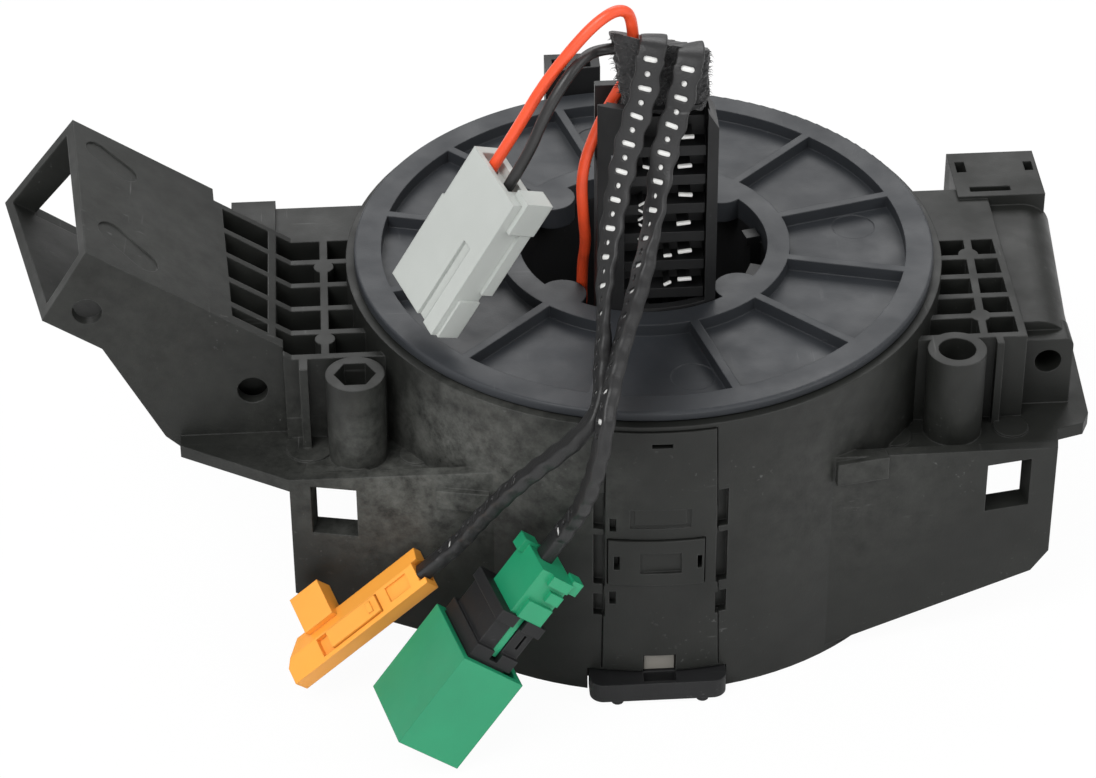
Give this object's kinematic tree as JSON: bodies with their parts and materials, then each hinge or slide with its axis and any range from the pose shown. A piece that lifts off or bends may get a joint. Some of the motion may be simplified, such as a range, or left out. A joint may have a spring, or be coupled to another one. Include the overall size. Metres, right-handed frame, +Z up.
{
  "type": "steering clock spring",
  "caption": "Steering column clock spring: ribbed rotor disc with cable tower and leads on a ribbed drum housing with a stalk bracket.",
  "frame": {"origin": "steering axis at the plane the housing stands on", "axes": "+Z up the steering axis toward the wheel, -Y toward the front door, +X toward the block with the blind bore"},
  "size_m": [0.1964, 0.1344, 0.1217],
  "materials": {
    "black_plastic": "satin moulded nylon, scuffed",
    "disc_plastic": "fine grained moulded plastic",
    "cover_plastic": "satin",
    "orange_plastic": "satin",
    "green_plastic": "satin",
    "grey_plastic": "satin",
    "contact_metal": "tin plated",
    "ribbon_film": "smooth film",
    "washer_film": "slippery film",
    "fabric_tape": "felted",
    "red_insulation": "satin",
    "black_insulation": "satin",
    "lead_wrap": "woven and perforated"
  },
  "bodies": {
    "base": {"housing": "black_plastic", "base_cover": "cover_plastic", "front_door": "black_plastic", "door_latch": "black_plastic", "contact_block": "black_plastic", "contact_pins": "contact_metal", "rear_clip": "cover_plastic", "lower_washer": "washer_film", "ribbon_cable": "ribbon_film", "green_plug": "green_plastic", "green_insert": "cover_plastic", "green_cover": "green_plastic", "orange_plug": "orange_plastic"},
    "rotor": {"rotor_disc": "disc_plastic", "rotor_hub": "cover_plastic", "cable_tower": "cover_plastic", "tower_comb": "cover_plastic", "tape_sleeve": "fabric_tape", "red_wire": "red_insulation", "black_wire": "black_insulation", "feed_wire": "red_insulation", "grey_connector": "grey_plastic", "grey_terminals": "contact_metal", "upper_washer": "washer_film", "lead_left": "lead_wrap", "lead_right": "lead_wrap"},
    "lock": {"orange_lock": "orange_plastic"}
  },
  "joints": [
    {"name": "rotor_turn", "type": "hinge", "parent": "base", "child": "rotor", "pos_m": [0, 0, 0], "axis": [0, 0, 1], "range_deg": [-900, 900], "deforming": ["lead_left", "lead_right"]},
    {"name": "orange_lock_slide", "type": "slide", "parent": "base", "child": "lock", "axis": [-0.7721, -0.097, -0.6281], "range_m": [0, 0.002]}
  ]
}
